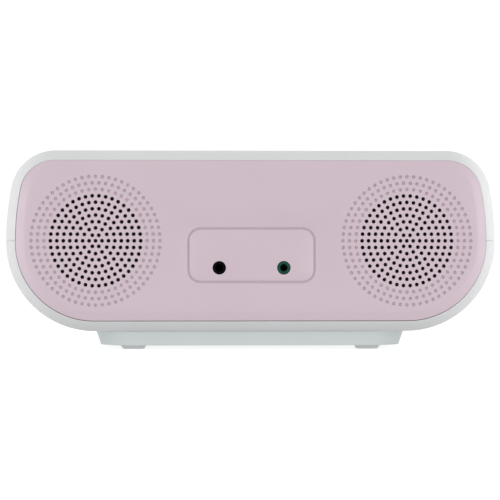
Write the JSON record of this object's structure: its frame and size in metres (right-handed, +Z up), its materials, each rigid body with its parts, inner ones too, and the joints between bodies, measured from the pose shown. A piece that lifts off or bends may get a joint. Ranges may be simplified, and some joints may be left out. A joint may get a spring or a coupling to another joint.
{
  "type": "shower speaker",
  "caption": "Wide loaf-shaped table speaker with a recessed perforated front panel, two front sockets, flush top keys, a rear battery door and a low plinth on rubber feet.",
  "frame": {"origin": "centre of the object's footprint, on the surface that the feet stand on", "axes": "+Z up; -Y out of the front panel; +X to the right when seen from the front, along the length"},
  "size_m": [0.246, 0.076, 0.1003],
  "materials": {
    "casing_white": "satin",
    "panel_pink": "matte",
    "plinth_grey": "matte",
    "foot_rubber": "matte",
    "key_white": "satin",
    "switch_plunger": "matte",
    "silicone": "matte",
    "circuit_board": "satin",
    "switch_metal": "satin",
    "ribbon_cable": "satin",
    "jack_black": "satin",
    "jack_green": "satin",
    "board_component": "satin",
    "connector_nylon": "satin",
    "tray_plastic": "matte",
    "cell_can": "satin",
    "contact_metal": "satin",
    "wire_insulation": "satin",
    "seal_rubber": "matte",
    "foam": "matte",
    "screw_steel": "satin",
    "splash_fabric": "matte",
    "terminal_board": "matte",
    "basket_paint": "satin",
    "surround_rubber": "matte",
    "cone_paper": "matte",
    "coil_copper": "satin",
    "spider_cloth": "matte",
    "plated_steel": "satin",
    "ferrite": "matte"
  },
  "bodies": {
    "casing": {"upper_shell": "casing_white", "lower_shell": "casing_white", "front_panel": "panel_pink", "rear_panel": "casing_white", "jack_plate": "panel_pink", "base_plinth": "plinth_grey", "rubber_feet": "foot_rubber", "control_bezel": "panel_pink", "keypad_membrane": "silicone", "key_board": "circuit_board", "switch_housings": "switch_metal", "key_ribbon": "ribbon_cable", "line_in_jack": "jack_black", "headphone_jack": "jack_green", "jack_board": "circuit_board", "jack_ribbon": "ribbon_cable", "main_board": "circuit_board", "board_components": "board_component", "board_connectors": "connector_nylon", "battery_tray": "tray_plastic", "battery_cells": "cell_can", "battery_contacts": "contact_metal", "battery_leads": "wire_insulation", "front_seal": "seal_rubber", "rear_seal": "seal_rubber", "side_seals": "seal_rubber", "door_seal": "seal_rubber", "shell_screws": "screw_steel", "plinth_screws": "screw_steel", "driver_screws": "screw_steel", "board_screws": "screw_steel", "driver_gaskets": "foam", "splash_membranes": "splash_fabric", "driver_terminals": "terminal_board", "speaker_leads": "wire_insulation", "left_basket": "basket_paint", "left_surround": "surround_rubber", "left_spider": "spider_cloth", "left_top_plate": "plated_steel", "left_magnet": "ferrite", "left_yoke": "plated_steel", "right_basket": "basket_paint", "right_surround": "surround_rubber", "right_spider": "spider_cloth", "right_top_plate": "plated_steel", "right_magnet": "ferrite", "right_yoke": "plated_steel"},
    "power_key": {"power_button": "key_white", "power_plunger": "switch_plunger"},
    "volume_down_key": {"volume_down_button": "key_white", "volume_down_plunger": "switch_plunger"},
    "volume_up_key": {"volume_up_button": "key_white", "volume_up_plunger": "switch_plunger"},
    "left_diaphragm": {"left_cone": "cone_paper", "left_dust_cap": "cone_paper", "left_voice_coil": "coil_copper"},
    "right_diaphragm": {"right_cone": "cone_paper", "right_dust_cap": "cone_paper", "right_voice_coil": "coil_copper"},
    "battery_door": {"battery_door": "casing_white"}
  },
  "joints": [
    {"name": "power_press", "type": "slide", "parent": "casing", "child": "power_key", "axis": [0, 0, -1], "range_m": [0, 0.0006], "stiffness_N_per_m": 900, "springref_m": -0.0003, "deforming": ["keypad_membrane"]},
    {"name": "volume_down_press", "type": "slide", "parent": "casing", "child": "volume_down_key", "axis": [0, 0, -1], "range_m": [0, 0.0006], "stiffness_N_per_m": 900, "springref_m": -0.0003, "deforming": ["keypad_membrane"]},
    {"name": "volume_up_press", "type": "slide", "parent": "casing", "child": "volume_up_key", "axis": [0, 0, -1], "range_m": [0, 0.0006], "stiffness_N_per_m": 900, "springref_m": -0.0003, "deforming": ["keypad_membrane"]},
    {"name": "left_cone_travel", "type": "slide", "parent": "casing", "child": "left_diaphragm", "axis": [0, -1, 0], "range_m": [-0.0012, 0.0012], "stiffness_N_per_m": 1500, "deforming": ["left_surround", "left_spider"]},
    {"name": "right_cone_travel", "type": "slide", "parent": "casing", "child": "right_diaphragm", "axis": [0, -1, 0], "range_m": [-0.0012, 0.0012], "stiffness_N_per_m": 1500, "deforming": ["right_surround", "right_spider"]},
    {"name": "battery_door_hinge", "type": "hinge", "parent": "casing", "child": "battery_door", "pos_m": [0, 0.036, 0.0348], "axis": [-1, 0, 0], "range_deg": [0, 90]}
  ]
}
